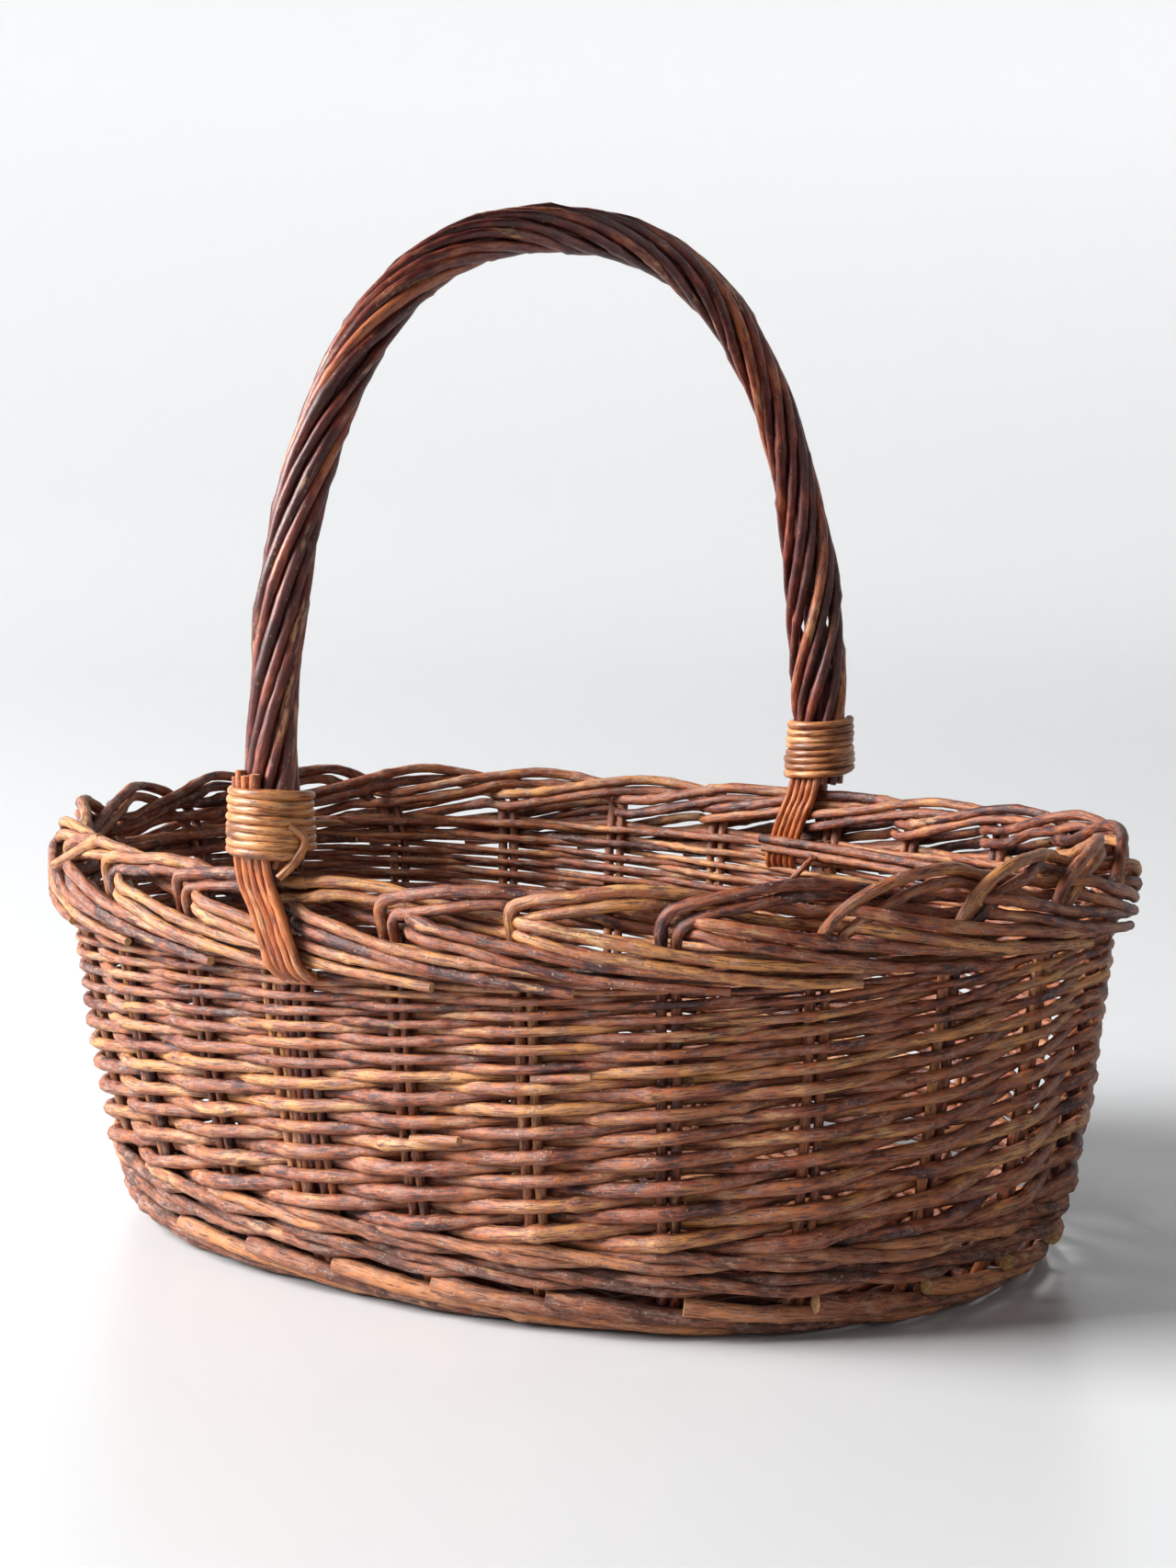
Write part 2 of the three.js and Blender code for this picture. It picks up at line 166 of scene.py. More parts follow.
# A smooth line through a few points, then points an even step apart along it
def smoothLine(points, step=3 * mm):
    spans = [(b - a).length for a, b in zip(points, points[1:])]
    slopes = []
    for i in range(len(points)):
        if i == 0:
            slopes.append((points[1] - points[0]) / spans[0])
        elif i == len(points) - 1:
            slopes.append((points[-1] - points[-2]) / spans[-1])
        else:
            before = (points[i] - points[i - 1]) / spans[i - 1]
            after = (points[i + 1] - points[i]) / spans[i]
            slopes.append((before * spans[i] + after * spans[i - 1]) / (spans[i] + spans[i - 1]))
    fine = []
    for i, span in enumerate(spans):
        count = max(int(span / step * 3), 3)
        for k in range(count):
            t = k / count
            a, b, c = t * t * t, t * t, t
            fine.append(
                points[i] * (2 * a - 3 * b + 1)
                + slopes[i] * (a - 2 * b + c) * span
                + points[i + 1] * (3 * b - 2 * a)
                + slopes[i + 1] * (a - b) * span
            )
    fine.append(points[-1].copy())
    return evenLine(fine, step)


def evenLine(fine, step):
    walked = [0.0]
    for a, b in zip(fine, fine[1:]):
        walked.append(walked[-1] + (b - a).length)
    count = max(round(walked[-1] / step), 2)
    line = []
    at = 0
    for k in range(count + 1):
        wanted = walked[-1] * k / count
        while at < len(walked) - 2 and walked[at + 1] < wanted:
            at += 1
        share = (wanted - walked[at]) / max(walked[at + 1] - walked[at], 1e-9)
        line.append(fine[at].lerp(fine[at + 1], clamp(share)))
    return line


# Knots, swellings and a little wandering along every rod
growth = {
    "firstKnot": (8, 40),
    "knotStep": (28, 70),
    "knotSize": (0.08, 0.30),
    "knotReach": 9 * mm,
    "knotWidth": 2.6 * mm,
    "longSwell": 0.14,
    "longSwellRate": 60,
    "shortSwell": 0.10,
    "shortSwellRate": 210,
    "wobble": 0.4 * mm,
    "wobbleRate": 34,
}


def lengthOf(line):
    return sum((b - a).length for a, b in zip(line, line[1:]))


# One rod: its line, its radius at every point and a tone for its bark
def makeRod(line, radiusAt, tone=None, wobble=growth["wobble"]):
    seed = dice.uniform(0, 900)
    length = lengthOf(line)
    knots = []
    place = dice.uniform(*growth["firstKnot"]) * mm
    while place < length:
        knots.append((place, dice.uniform(*growth["knotSize"])))
        place += dice.uniform(*growth["knotStep"]) * mm
    points, radii, walked = [], [], 0.0
    for i, point in enumerate(line):
        if i:
            walked += (point - line[i - 1]).length
        swell = 1 + sway(walked * growth["longSwellRate"], seed, growth["longSwell"])
        swell += sway(walked * growth["shortSwellRate"], seed, growth["shortSwell"])
        radius = radiusAt(walked / length) * swell
        for knot, size in knots:
            if abs(walked - knot) < growth["knotReach"]:
                radius *= 1 + size * math.exp(-(((walked - knot) / growth["knotWidth"]) ** 2))
        drift = noise.noise_vector(Vector((walked * growth["wobbleRate"], seed, 0.0))) * wobble
        points.append(point + drift)
        radii.append(radius)
    return {"points": points, "radii": radii, "tone": dice.random() if tone is None else tone}


def evenRadius(thick):
    return lambda share: thick / 2


def sweepCurve(name, rods, sides):
    curve = bpy.data.curves.new(name, "CURVE")
    curve.dimensions = "3D"
    curve.bevel_depth = 1.0  # metres, so that a point's radius is the rod's own
    curve.bevel_resolution = sides // 2 - 2
    for rod in rods:
        spline = curve.splines.new("POLY")
        spline.points.add(len(rod["points"]) - 1)
        for spot, point, radius in zip(spline.points, rod["points"], rod["radii"]):
            spot.co = (*point, 1.0)
            spot.radius = radius
    holder = bpy.data.objects.new(name + "_line", curve)
    scene.collection.objects.link(holder)
    shaped = holder.evaluated_get(bpy.context.evaluated_depsgraph_get())
    mesh = bpy.data.meshes.new_from_object(shaped)
    bpy.data.objects.remove(holder)
    mesh.name = name
    return mesh


# Every vertex knows where it is on its own rod: round it, along it, and which rod it is
barkStart = {"perTone": 3.0, "perRod": 0.37}


def writeBarkPlaces(mesh, rods, sides):
    places, tones = [], []
    for number, rod in enumerate(rods):
        along = rod["tone"] * barkStart["perTone"] + number * barkStart["perRod"]
        for i, radius in enumerate(rod["radii"]):
            if i:
                along += (rod["points"][i] - rod["points"][i - 1]).length
            for k in range(sides):
                angle = 2 * math.pi * k / sides
                places += [radius * math.cos(angle), radius * math.sin(angle), along]
                tones.append(rod["tone"])
    barkPlace = mesh.attributes.new("barkPlace", "FLOAT_VECTOR", "POINT")
    barkPlace.data.foreach_set("vector", places)
    barkTone = mesh.attributes.new("barkTone", "FLOAT", "POINT")
    barkTone.data.foreach_set("value", tones)


# The open ends are closed with flat cut wood
def closeEnds(mesh, sides):
    cut = bmesh.new()
    cut.from_mesh(mesh)
    openEdges = [edge for edge in cut.edges if edge.is_boundary]
    made = bmesh.ops.holes_fill(cut, edges=openEdges, sides=sides)["faces"]
    for face in cut.faces:
        face.smooth = True
    for face in made:
        face.material_index = 1
        face.smooth = False
        for edge in face.edges:
            edge.smooth = False
    bmesh.ops.recalc_face_normals(cut, faces=cut.faces)
    cut.to_mesh(mesh)
    cut.free()


def addRods(name, rods, look, sides=8, nodes=()):
    mesh = sweepCurve(name, rods, sides)
    mesh.materials.clear()
    mesh.materials.append(look)
    mesh.materials.append(cutWood)
    for face in mesh.polygons:
        face.material_index = 0
    writeBarkPlaces(mesh, rods, sides)
    closeEnds(mesh, sides)
    piece = bpy.data.objects.new(name, mesh)
    scene.collection.objects.link(piece)
    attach(piece, "root")
    if nodes:
        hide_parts(*nodes)
    return piece


# Shader maths: a wire is one output, and sums of wires make the nodes between them
class Wire:
    def __init__(self, tree, socket):
        self.tree = tree
        self.socket = socket

    def node(self, kind, values=None, output=0, **settings):
        made = self.tree.nodes.new(kind)
        for name, value in settings.items():
            setattr(made, name, value)
        for name, value in (values or {}).items():
            feed(self.tree, made.inputs[name], value)
        return Wire(self.tree, made.outputs[output])

    def maths(self, operation, first, second=0.0):
        return self.node("ShaderNodeMath", {0: first, 1: second}, operation=operation)

    def __add__(self, other):
        return self.maths("ADD", self, other)

    def __radd__(self, other):
        return self.maths("ADD", other, self)

    def __sub__(self, other):
        return self.maths("SUBTRACT", self, other)

    def __rsub__(self, other):
        return self.maths("SUBTRACT", other, self)

    def __mul__(self, other):
        return self.maths("MULTIPLY", self, other)

    def __rmul__(self, other):
        return self.maths("MULTIPLY", other, self)

    def __truediv__(self, other):
        return self.maths("DIVIDE", self, other)

    def between(self, low, high):
        values = {"Value": self, "From Min": low, "From Max": high}
        return self.node("ShaderNodeMapRange", values, interpolation_type="SMOOTHSTEP")

    def noise(self, scale, detail=3.0, roughness=0.55, stretch=(1, 1, 1)):
        spread = self.node("ShaderNodeMapping", {"Vector": self, "Scale": stretch})
        values = {"Vector": spread, "Scale": scale, "Detail": detail, "Roughness": roughness}
        return spread.node("ShaderNodeTexNoise", values)

    def cells(self, scale, stretch=(1, 1, 1)):
        spread = self.node("ShaderNodeMapping", {"Vector": self, "Scale": stretch})
        return spread.node("ShaderNodeTexVoronoi", {"Vector": spread, "Scale": scale})

    def tinted(self, first, second):
        made = self.tree.nodes.new("ShaderNodeMix")
        made.data_type = "RGBA"
        for socket, value in ((0, self), (6, first), (7, second)):
            feed(self.tree, made.inputs[socket], value)
        return Wire(self.tree, made.outputs[2])

    def ramp(self, stops):
        made = self.tree.nodes.new("ShaderNodeValToRGB")
        band = made.color_ramp
        while len(band.elements) < len(stops):
            band.elements.new(1.0)
        for element, (place, colour) in zip(band.elements, stops):
            element.position = place
            element.color = (*colour, 1.0)
        feed(self.tree, made.inputs[0], self)
        return Wire(self.tree, made.outputs[0])


def feed(tree, socket, value):
    if isinstance(value, Wire):
        tree.links.new(value.socket, socket)
    elif hasattr(socket.default_value, "__len__") and len(socket.default_value) == 4:
        socket.default_value = (*value[:3], 1.0)
    else:
        socket.default_value = value


def newLook(name):
    look = bpy.data.materials.new(name)
    look.use_nodes = True
    tree = look.node_tree
    shader = tree.nodes["Principled BSDF"]
    return look, tree, shader


# Where a point is on its rod, and the rod's tone
def barkWires(tree):
    place = tree.nodes.new("ShaderNodeAttribute")
    place.attribute_name = "barkPlace"
    tone = tree.nodes.new("ShaderNodeAttribute")
    tone.attribute_name = "barkTone"
    return Wire(tree, place.outputs["Vector"]), Wire(tree, tone.outputs["Fac"])


willowBark = {
    "name": "willow_bark",
    "tones": [
        (0.00, (0.058, 0.019, 0.018)),
        (0.18, (0.163, 0.044, 0.025)),
        (0.34, (0.307, 0.090, 0.033)),
        (0.48, (0.187, 0.084, 0.069)),
        (0.62, (0.429, 0.132, 0.036)),
        (0.78, (0.280, 0.128, 0.073)),
        (1.00, (0.503, 0.230, 0.080)),
    ],
    "grey": (0.345, 0.262, 0.230),
    "groove": (0.050, 0.022, 0.018),
    "greyAmount": 0.30,
    # The next number adds grey at the lit left end: part weathering, part painted sheen
    "endWearAndSheen": 1.2,
    "bare": (0.580, 0.360, 0.175),
    "bareAmount": 0.5,
    "dots": (0.460, 0.320, 0.210),
    "roughLow": 0.34,
    "roughHigh": 0.62,
    "bump": 0.8,
}
footBark = dict(
    willowBark,
    name="foot_bark",
    tones=[
        (0.00, (0.099, 0.037, 0.025)),
        (0.30, (0.253, 0.087, 0.044)),
        (0.60, (0.320, 0.133, 0.071)),
        (1.00, (0.484, 0.200, 0.083)),
    ],
    greyAmount=0.40,
    endWearAndSheen=0.6,
    roughLow=0.55,
    roughHigh=0.85,
)
handleBark = dict(
    willowBark,
    name="handle_bark",
    tones=[
        (0.00, (0.055, 0.015, 0.013)),
        (0.35, (0.112, 0.026, 0.023)),
        (0.65, (0.205, 0.050, 0.031)),
        (1.00, (0.360, 0.122, 0.056)),
    ],
    grey=(0.300, 0.210, 0.160),
    greyAmount=0.12,
    endWearAndSheen=0.0,
    bare=(0.560, 0.350, 0.180),
    bareAmount=0.6,
    dots=(0.380, 0.210, 0.120),
    roughLow=0.26,
    roughHigh=0.5,
    bump=0.3,
)
tailBark = dict(
    handleBark,
    name="tail_bark",
    tones=[
        (0.00, (0.096, 0.021, 0.013)),
        (0.40, (0.208, 0.048, 0.018)),
        (0.70, (0.352, 0.093, 0.025)),
        (1.00, (0.432, 0.145, 0.048)),
    ],
    bareAmount=0.3,
)
palePeel = dict(
    willowBark,
    name="pale_rod",
    tones=[
        (0.00, (0.160, 0.055, 0.024)),
        (0.30, (0.350, 0.135, 0.052)),
        (0.60, (0.520, 0.250, 0.100)),
        (1.00, (0.400, 0.150, 0.056)),
    ],
    grey=(0.380, 0.290, 0.210),
    greyAmount=0.18,
    endWearAndSheen=0.0,
    bare=(0.660, 0.500, 0.320),
    bareAmount=0.5,
    dots=(0.240, 0.130, 0.080),
    roughLow=0.26,
    roughHigh=0.46,
    bump=0.25,
)


# The size of each pattern in the bark, and how far it is drawn out along the rod
barkPattern = {
    "patch": (75, 3, 0.6, (1.0, 1.0, 0.45)),
    "blotch": (420, 3, 0.6, (1.0, 1.0, 0.30)),
    "streak": (1300, 3, 0.65, (1.0, 1.0, 0.07)),
    "grain": (1700, 3, 0.7, (1.0, 1.0, 0.6)),
    "weatherAndSheen": (260, 5, 0.8, (1.0, 1.0, 0.5)),
    "bare": (48, 3, 0.5, (1.6, 1.6, 0.45)),
    "speckle": (430, (1.0, 1.0, 0.8)),
    "speckled": (130, 1),
}
barkShare = {"tone": 0.80, "patch": 2.2, "blotch": 1.4, "streak": 0.8, "base": 0.10}
# The X span, in metres, over which the extra grey of the lit left end fades out: part weathering, part
# painted sheen
wearAndSheenReach = (-0.22, 0.06)


def makeBark(finish):
    look, tree, shader = newLook(finish["name"])
    place, tone = barkWires(tree)
    names = ("patch", "blotch", "streak", "grain", "weatherAndSheen", "bare")
    patch, blotch, streak, grain, weatherAndSheen, bare = (place.noise(*barkPattern[name]) for name in names)
    shade = tone * barkShare["tone"] + barkShare["base"]
    for pattern, name in ((patch, "patch"), (blotch, "blotch"), (streak, "streak")):
        shade = shade + (pattern - 0.5) * barkShare[name]
    colour = shade.ramp(finish["tones"])
    # Grey weathering, with more grey towards the lit left end: real weathering plus painted sheen
    basketPlace = Wire(tree, tree.nodes.new("ShaderNodeTexCoord").outputs["Object"])
    basketX = basketPlace.node("ShaderNodeSeparateXYZ", {"Vector": basketPlace})
    wearAndSheenAtLeft = (1.0 - basketX.between(*wearAndSheenReach)) * finish["endWearAndSheen"] + 1.0
    weatherAndSheen = weatherAndSheen.between(0.48, 0.62) * finish["greyAmount"] * wearAndSheenAtLeft
    colour = weatherAndSheen.tinted(colour, finish["grey"])
    # Bare wood in worn places, dark grooves, pale specks
    bare = bare.between(0.60, 0.66) * blotch.between(0.42, 0.56) * finish["bareAmount"]
    colour = bare.tinted(colour, finish["bare"])
    dark = (1.0 - streak.between(0.36, 0.48)) * 0.65 + (1.0 - grain.between(0.30, 0.42)) * 0.35
    colour = (dark.node("ShaderNodeClamp", {"Value": dark}) * 1.1).tinted(colour, finish["groove"])
    speckled = place.noise(*barkPattern["speckled"]).between(0.48, 0.58) * 0.5
    dots = (1.0 - place.cells(*barkPattern["speckle"]).between(0.12, 0.26)) * speckled
    colour = dots.tinted(colour, finish["dots"])
    tree.links.new(colour.socket, shader.inputs["Base Color"])
    rough = grain * (finish["roughHigh"] - finish["roughLow"]) + finish["roughLow"] + weatherAndSheen * 0.2
    tree.links.new(rough.socket, shader.inputs["Roughness"])
    height = streak * 0.5 + grain * 0.5 + dots * 0.6 + blotch * 0.8 + weatherAndSheen * 0.4
    values = {"Strength": finish["bump"], "Distance": 0.7 * mm, "Height": height}
    bump = place.node("ShaderNodeBump", values)
    tree.links.new(bump.socket, shader.inputs["Normal"])
    return look


def makeCutWood():
    look, tree, shader = newLook("cut_wood")
    place = barkWires(tree)[0]
    ring = place.noise(700, 3)
    colour = ring.ramp([(0.3, (0.330, 0.180, 0.080)), (0.7, (0.620, 0.400, 0.200))])
    tree.links.new(colour.socket, shader.inputs["Base Color"])
    shader.inputs["Roughness"].default_value = 0.7
    return look


willow = makeBark(willowBark)
footWillow = makeBark(footBark)
handleWillow = makeBark(handleBark)
tailWillow = makeBark(tailBark)
paleWillow = makeBark(palePeel)
cutWood = makeCutWood()
print("materials made")

# Siding: every rod starts inside at one upright and climbs one layer at each upright it passes
siding = {
    "layers": 24,
    "low": 38 * mm,
    "high": 137.5 * mm,
    "butt": 6.2 * mm,
    "tip": 2.7 * mm,
    "lead": 1.2,
    "fill": 1.04,  # thicker than the layers are apart, so that they press together
    "upright": 2.2 * mm,
    "crossing": 0.42,  # share of the way between two uprights that a rod takes to cross over
    "lowest": -0.6,
    "step": 0.085,
    "sway": 0.8 * mm,
    "sag": 0.45,
}


def layerHeight(layer):
    share = max(layer, siding["lowest"]) / siding["layers"]
    butt, tip = siding["butt"], siding["tip"]
    grown = (butt * share + (tip - butt) * share * share / 2) / ((butt + tip) / 2)
    return lerp(siding["low"], siding["high"], grown) + siding["butt"] / 2 * (1 - share)


# In and out of the uprights in straight runs, with a short flat beside each one
def zigzag(layer):
    away = abs((layer + 0.5) % 1 - 0.5)
    side = 1 if round(layer) % 2 == 0 else -1
    return side * clamp((0.5 - away) / siding["crossing"])


def sidingRod(number):
    thick = dice.uniform(0.9, 1.12)
    seed = dice.uniform(0, 500)
    butt, tip, fill = siding["butt"], siding["tip"], siding["fill"]
    run = siding["layers"] + siding["lead"]
    count = int(run / siding["step"])
    points = []
    for i in range(count + 1):
        layer = -siding["lead"] + run * i / count
        share = clamp(layer / siding["layers"])
        radius = lerp(butt, tip, share) / 2 * fill
        out = (siding["upright"] + radius) * zigzag(layer) + sway(layer * 0.9, seed + 50, siding["sway"])
        height = layerHeight(layer) + sway(layer * 0.8, seed, radius * siding["sag"])
        points.append(wallPoint(number + layer, height, out))
    return makeRod(evenLine(points, 2.4 * mm), lambda share: lerp(butt, tip, share) / 2 * fill * thick)


rowNodes = [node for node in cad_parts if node.startswith("siding_row_")]
for number in range(uprights):
    rod = [sidingRod(number)]
    addRods("siding_rod_%02d" % (number + 1), rod, willow, 8, rowNodes[number : number + 1])
print("siding woven")

# Ends of joined-in rods stick out of the weave here and there, thick ones inside and thin ones outside
rodEnds = {
    "inside": 34,
    "outside": 6,
    "long": 24 * mm,
    "lift": 2.4 * mm,
    "lowest": siding["low"] + 6 * mm,
    "highest": siding["high"] + 4 * mm,
    "slope": 0.5 * mm,
}


def rodEnd(inside):
    station = int(dice.uniform(0, uprights)) + dice.uniform(0.1, 0.3)
    height = dice.uniform(rodEnds["lowest"], rodEnds["highest"])
    share = (height - siding["low"]) / (siding["high"] - siding["low"])
    thick = lerp(siding["butt"], siding["tip"], share) * dice.uniform(0.8, 1.05)
    facing = -1 if inside else 1
    spacing = roundWalk[-1] / uprights
    points = []
    for i in range(5):
        step = (i / 4 - 0.3) * rodEnds["long"] / spacing
        out = facing * (siding["upright"] + thick / 2 + rodEnds["lift"] * ease(i / 4))
        points.append(wallPoint(station + step, height + i * rodEnds["slope"], out))
    return makeRod(smoothLine(points, 2.4 * mm), evenRadius(thick))


addRods("inner_rod_ends", [rodEnd(True) for i in range(rodEnds["inside"])], willow)
addRods("outer_rod_ends", [rodEnd(False) for i in range(rodEnds["outside"])], willow)
print("rod ends tucked in")

# Wales: three rods at a time, each over two uprights and behind one
wales = {
    "foot_wale": {
        "low": 18.5 * mm,
        "rounds": 2,
        "roundHeight": 9.6 * mm,
        "thick": 5.2 * mm,
        "start": 14.0,
    },
    "top_wale": {
        "low": 138.0 * mm,
        "rounds": 2,
        "roundHeight": 7.0 * mm,
        "thick": 3.9 * mm,
        "start": 16.0,
    },
}
waleStroke = {
    "across": [1.0, 1.0, -1.0],
    "rise": [0.46, -0.46, 0.0],
    "flat": 0.08,
    "overlap": 1.2,
    "sway": 0.8 * mm,
    "points": 300,
}


def waleRod(plan, roundNumber, turn):
    thick = plan["thick"] * dice.uniform(0.9, 1.08)
    seed = dice.uniform(0, 500)
    across, rises, flat = waleStroke["across"], waleStroke["rise"], waleStroke["flat"]
    points = []
    for i in range(waleStroke["points"] + 1):
        station = plan["start"] + turn + (uprights + waleStroke["overlap"]) * i / waleStroke["points"]
        phase = (station - turn) % 3
        here = int(phase)
        share = clamp((phase - here - flat) / (1 - 2 * flat))
        out = lerp(across[here], across[(here + 1) % 3], share) * (siding["upright"] + thick / 2)
        rise = lerp(rises[here], rises[(here + 1) % 3], share) * plan["thick"]
        level = plan["low"] + plan["roundHeight"] * (roundNumber + 0.5) + rise
        level += sway(station * 0.7, seed, waleStroke["sway"])
        points.append(wallPoint(station, level, out + sway(station, seed + 9, waleStroke["sway"])))
    return makeRod(evenLine(points, 2.4 * mm), lambda share: thick / 2 * lerp(1.05, 0.92, share))


for name, plan in wales.items():
    look, slotName = (footWillow, "foot_bark") if name == "foot_wale" else (willow, "bark")
    wanted = [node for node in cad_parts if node.startswith(name)]
    for turn in range(3):
        rods = [waleRod(plan, roundNumber, turn) for roundNumber in range(plan["rounds"])]
        nodes = wanted[turn:] if turn == 2 else wanted[turn : turn + 1]
        addRods("%s_rods_%d" % (name, turn + 1), rods, look, 8, nodes)
print("wales woven")

# Uprights run on over the rim: up, over to the right, behind one pair and down over two
# Each point of the border is uprights along, mm above its underside, mm out from the wall
borderDown = [
    (1.75, 21.0, -4.4), (2.00, 19.2, -3.2), (2.12, 19.0, 0.5), (2.22, 18.8, 6.5), (2.36, 17.4, 9.8),
    (2.60, 14.6, 10.8), (3.00, 9.8, 10.8), (3.50, 4.8, 10.4), (4.00, 1.4, 9.8), (4.40, -0.8, 9.2),
]
border = {
    "start": 8 * mm,
    "besideFoot": 0.17,  # how far to the left of a handle foot its pair stands, in uprights
    "apart": 0.05,
    "thick": 4.2 * mm,
    "overThick": 4.8 * mm,
    "pairSpread": 2.45 * mm,
    "jitter": (0.7, 0.5),
    "handlePinch": 0.2,
    "pinchReach": 22 * mm,
    "sharp": [
        (0.00, 6.0, 1.0), (0.00, 15.0, 3.4), (0.00, 22.6, 4.8), (0.03, 25.0, 5.0), (0.12, 26.2, 5.2),
        (0.45, 28.8, 5.0), (0.75, 29.8, 2.2), (1.00, 29.0, -1.6), (1.35, 25.6, -4.2), *borderDown,
    ],
    "open": [
        (0.00, 2.0, 1.5), (0.02, 8.0, 3.6), (0.06, 13.6, 5.4), (0.16, 19.2, 6.2), (0.30, 24.0, 6.2),
        (0.58, 29.4, 5.2), (0.85, 30.6, 1.8), (1.06, 29.2, -1.6), (1.35, 25.8, -4.2), *borderDown,
    ],
    "bendPoints": 4,  # as many points as the pair takes to lie over
    "outsideFrom": 12,  # the point where it comes out over the border
}


def borderLine(station, side, openness):
    offset = side * border["apart"]
    bend, outside = border["bendPoints"], border["outsideFrom"]
    points = []
    height = border["start"]
    while height < borderBottom - 4 * mm:
        points.append(wallPoint(station + offset, height, 0.0))
        height += 22 * mm
    for i, (sharp, opened) in enumerate(zip(border["sharp"], border["open"])):
        step, level, out = (lerp(a, b, openness) for a, b in zip(sharp, opened))
        share = ease((level - 9) / 9) if i < bend else lerp(1, 1.15, ease((i - 8) / 3))
        level = level * mm - side * border["pairSpread"] * share
        along = offset * (1 if i < bend else clamp(1 - (i - bend) / 3)) + step
        x = wallPoint(station + along, borderBottom).x
        if i >= outside:
            out *= 1 - border["handlePinch"] * math.exp(-((x / border["pinchReach"]) ** 2))
        up, aside = (dice.uniform(-size, size) if i >= bend else 0.0 for size in border["jitter"])
        points.append(wallPoint(station + along, borderBottom + level + up * mm, (out + aside) * mm))
    return smoothLine(points, 2.2 * mm)


def stakeRod(station, side):
    x = wallPoint(station, borderBottom).x / topHalf[0]
    line = borderLine(station, side, ease((abs(x) - 0.55) / 0.35))
    upShare = (borderBottom - border["start"]) / lengthOf(line)
    slim, full = border["thick"] / 2, border["overThick"] / 2
    grow = dice.uniform(0.92, 1.1)

    def radiusAt(share):
        swollen = lerp(slim, full, ease((share - upShare) / 0.1))
        return grow * swollen * lerp(1.0, 0.84, ease((share - 0.75) / 0.25))

    return makeRod(line, radiusAt)


for station in range(uprights):
    node = "stake_pair_%02d" % station
    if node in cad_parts:
        rods = [stakeRod(station, -1), stakeRod(station, 1)]
        addRods("uprights_%02d" % station, rods, willow, 8, [node])
    else:
        beside = station - border["besideFoot"]
        rods = [stakeRod(beside, -1), stakeRod(beside, 1)]
        nodes = ["rim_border"] if station == 0 else []
        addRods("foot_side_uprights_%02d" % station, rods, willow, 8, nodes)
print("uprights and rim border plaited")

# Foot border: thick butts, each sloping down to the right and tucked under the next ones
footBorder = {
    "thick": 6.8 * mm,
    "butt": 1.1,
    "tip": 0.72,
    "wobble": 0.6 * mm,
    "line": [
        (0.00, 15.0, 5.6), (0.30, 13.4, 5.8), (0.80, 10.6, 5.6), (1.30, 7.6, 5.0),
        (1.80, 4.9, 3.8), (2.30, 3.8, 1.0), (2.80, 3.8, -3.2), (3.30, 4.2, -8.5),
    ],
}


def footRod(station):
    points = []
    for step, level, out in footBorder["line"]:
        up = dice.uniform(-0.5, 0.5) * mm
        along = step + dice.uniform(-0.04, 0.04)
        points.append(wallPoint(station + along, level * mm + up, out * mm))
    thick = footBorder["thick"] / 2 * dice.uniform(0.9, 1.08)
    butt, tip = footBorder["butt"], footBorder["tip"]
    line = smoothLine(points, 2.5 * mm)
    return makeRod(
        line, lambda share: thick * lerp(butt, tip, ease(share * 1.3)), wobble=footBorder["wobble"]
    )


perQuarter = uprights // 4
for quarter in range(4):
    rods = [footRod(quarter * perQuarter + i + 0.1) for i in range(perQuarter)]
    nodes = ["foot_border"] if quarter == 0 else []
    addRods("foot_border_rods_%d" % (quarter + 1), rods, footWillow, 10, nodes)
print("foot border plaited")

# Base: long sticks along it, short sticks across, and rods woven over and under them
base = {
    "level": 8 * mm,
    "stick": 6.5 * mm,
    "longSticks": 3,
    "longStep": 30 * mm,
    "shortSticks": 7,
    "shortStep": 42 * mm,
    "shortBend": 1 * mm,
    "inFoot": 5 * mm,
    "rod": 4.2 * mm,
    "pitch": 4.6 * mm,
    "over": 3.2 * mm,
    "waves": 14,
    "turned": 1.3,
    "innermost": 0.12,
    "margin": 6 * mm,
    "ringPoints": 150,
}


def stickRod(a, b, bend=0.0):
    points = [a.lerp(b, i / 6) for i in range(7)]
    for i, point in enumerate(points):
        point.z = base["level"] + bend * math.sin(math.pi * i / 6)
    return makeRod(smoothLine(points, 6 * mm), evenRadius(base["stick"]))


def acrossFoot(at, reach, other):
    power = basket["ovalPower"]
    return (other - base["inFoot"]) * (1 - abs(at / (reach - base["inFoot"])) ** power) ** (1 / power)


def evenSteps(count, step):
    return [(i - (count - 1) // 2) * step for i in range(count)]


sticks = []
for y in evenSteps(base["longSticks"], base["longStep"]):
    x = acrossFoot(y, footHalf[1], footHalf[0])
    sticks.append(stickRod(Vector((-x, y, 0)), Vector((x, y, 0))))
for x in evenSteps(base["shortSticks"], base["shortStep"]):
    y = acrossFoot(x, footHalf[0], footHalf[1])
    sticks.append(stickRod(Vector((x, -y, 0)), Vector((x, y, 0)), base["shortBend"]))
addRods("base_stick_rods", sticks, footWillow, 8, ["base_sticks"])


def baseRing(number, count):
    share = (number + 0.5) / count
    half = (footHalf[0] - base["margin"], footHalf[1] - base["margin"])
    reach = lerp(base["innermost"], 1.0, share)
    halfX = half[1] * reach + (half[0] - half[1]) * ease(reach * 1.3)
    halfY = half[1] * reach
    points = []
    for i in range(base["ringPoints"] + 1):
        angle = 2 * math.pi * i / base["ringPoints"] + number * base["turned"]
        x, y = ovalPoint((halfX, halfY), angle)
        wave = math.cos(math.pi * (number + base["waves"] * angle / math.pi))
        points.append(Vector((x, y, base["level"] + wave * base["over"])))
    return makeRod(points, evenRadius(base["rod"]))


rings = int(footHalf[1] / base["pitch"]) - 4
for part in range(3):
    rods = [baseRing(i, rings) for i in range(part, rings, 3)]
    nodes = ["base_weave"] if part == 0 else []
    addRods("base_weave_rods_%d" % (part + 1), rods, willow, 6, nodes)
print("base woven")

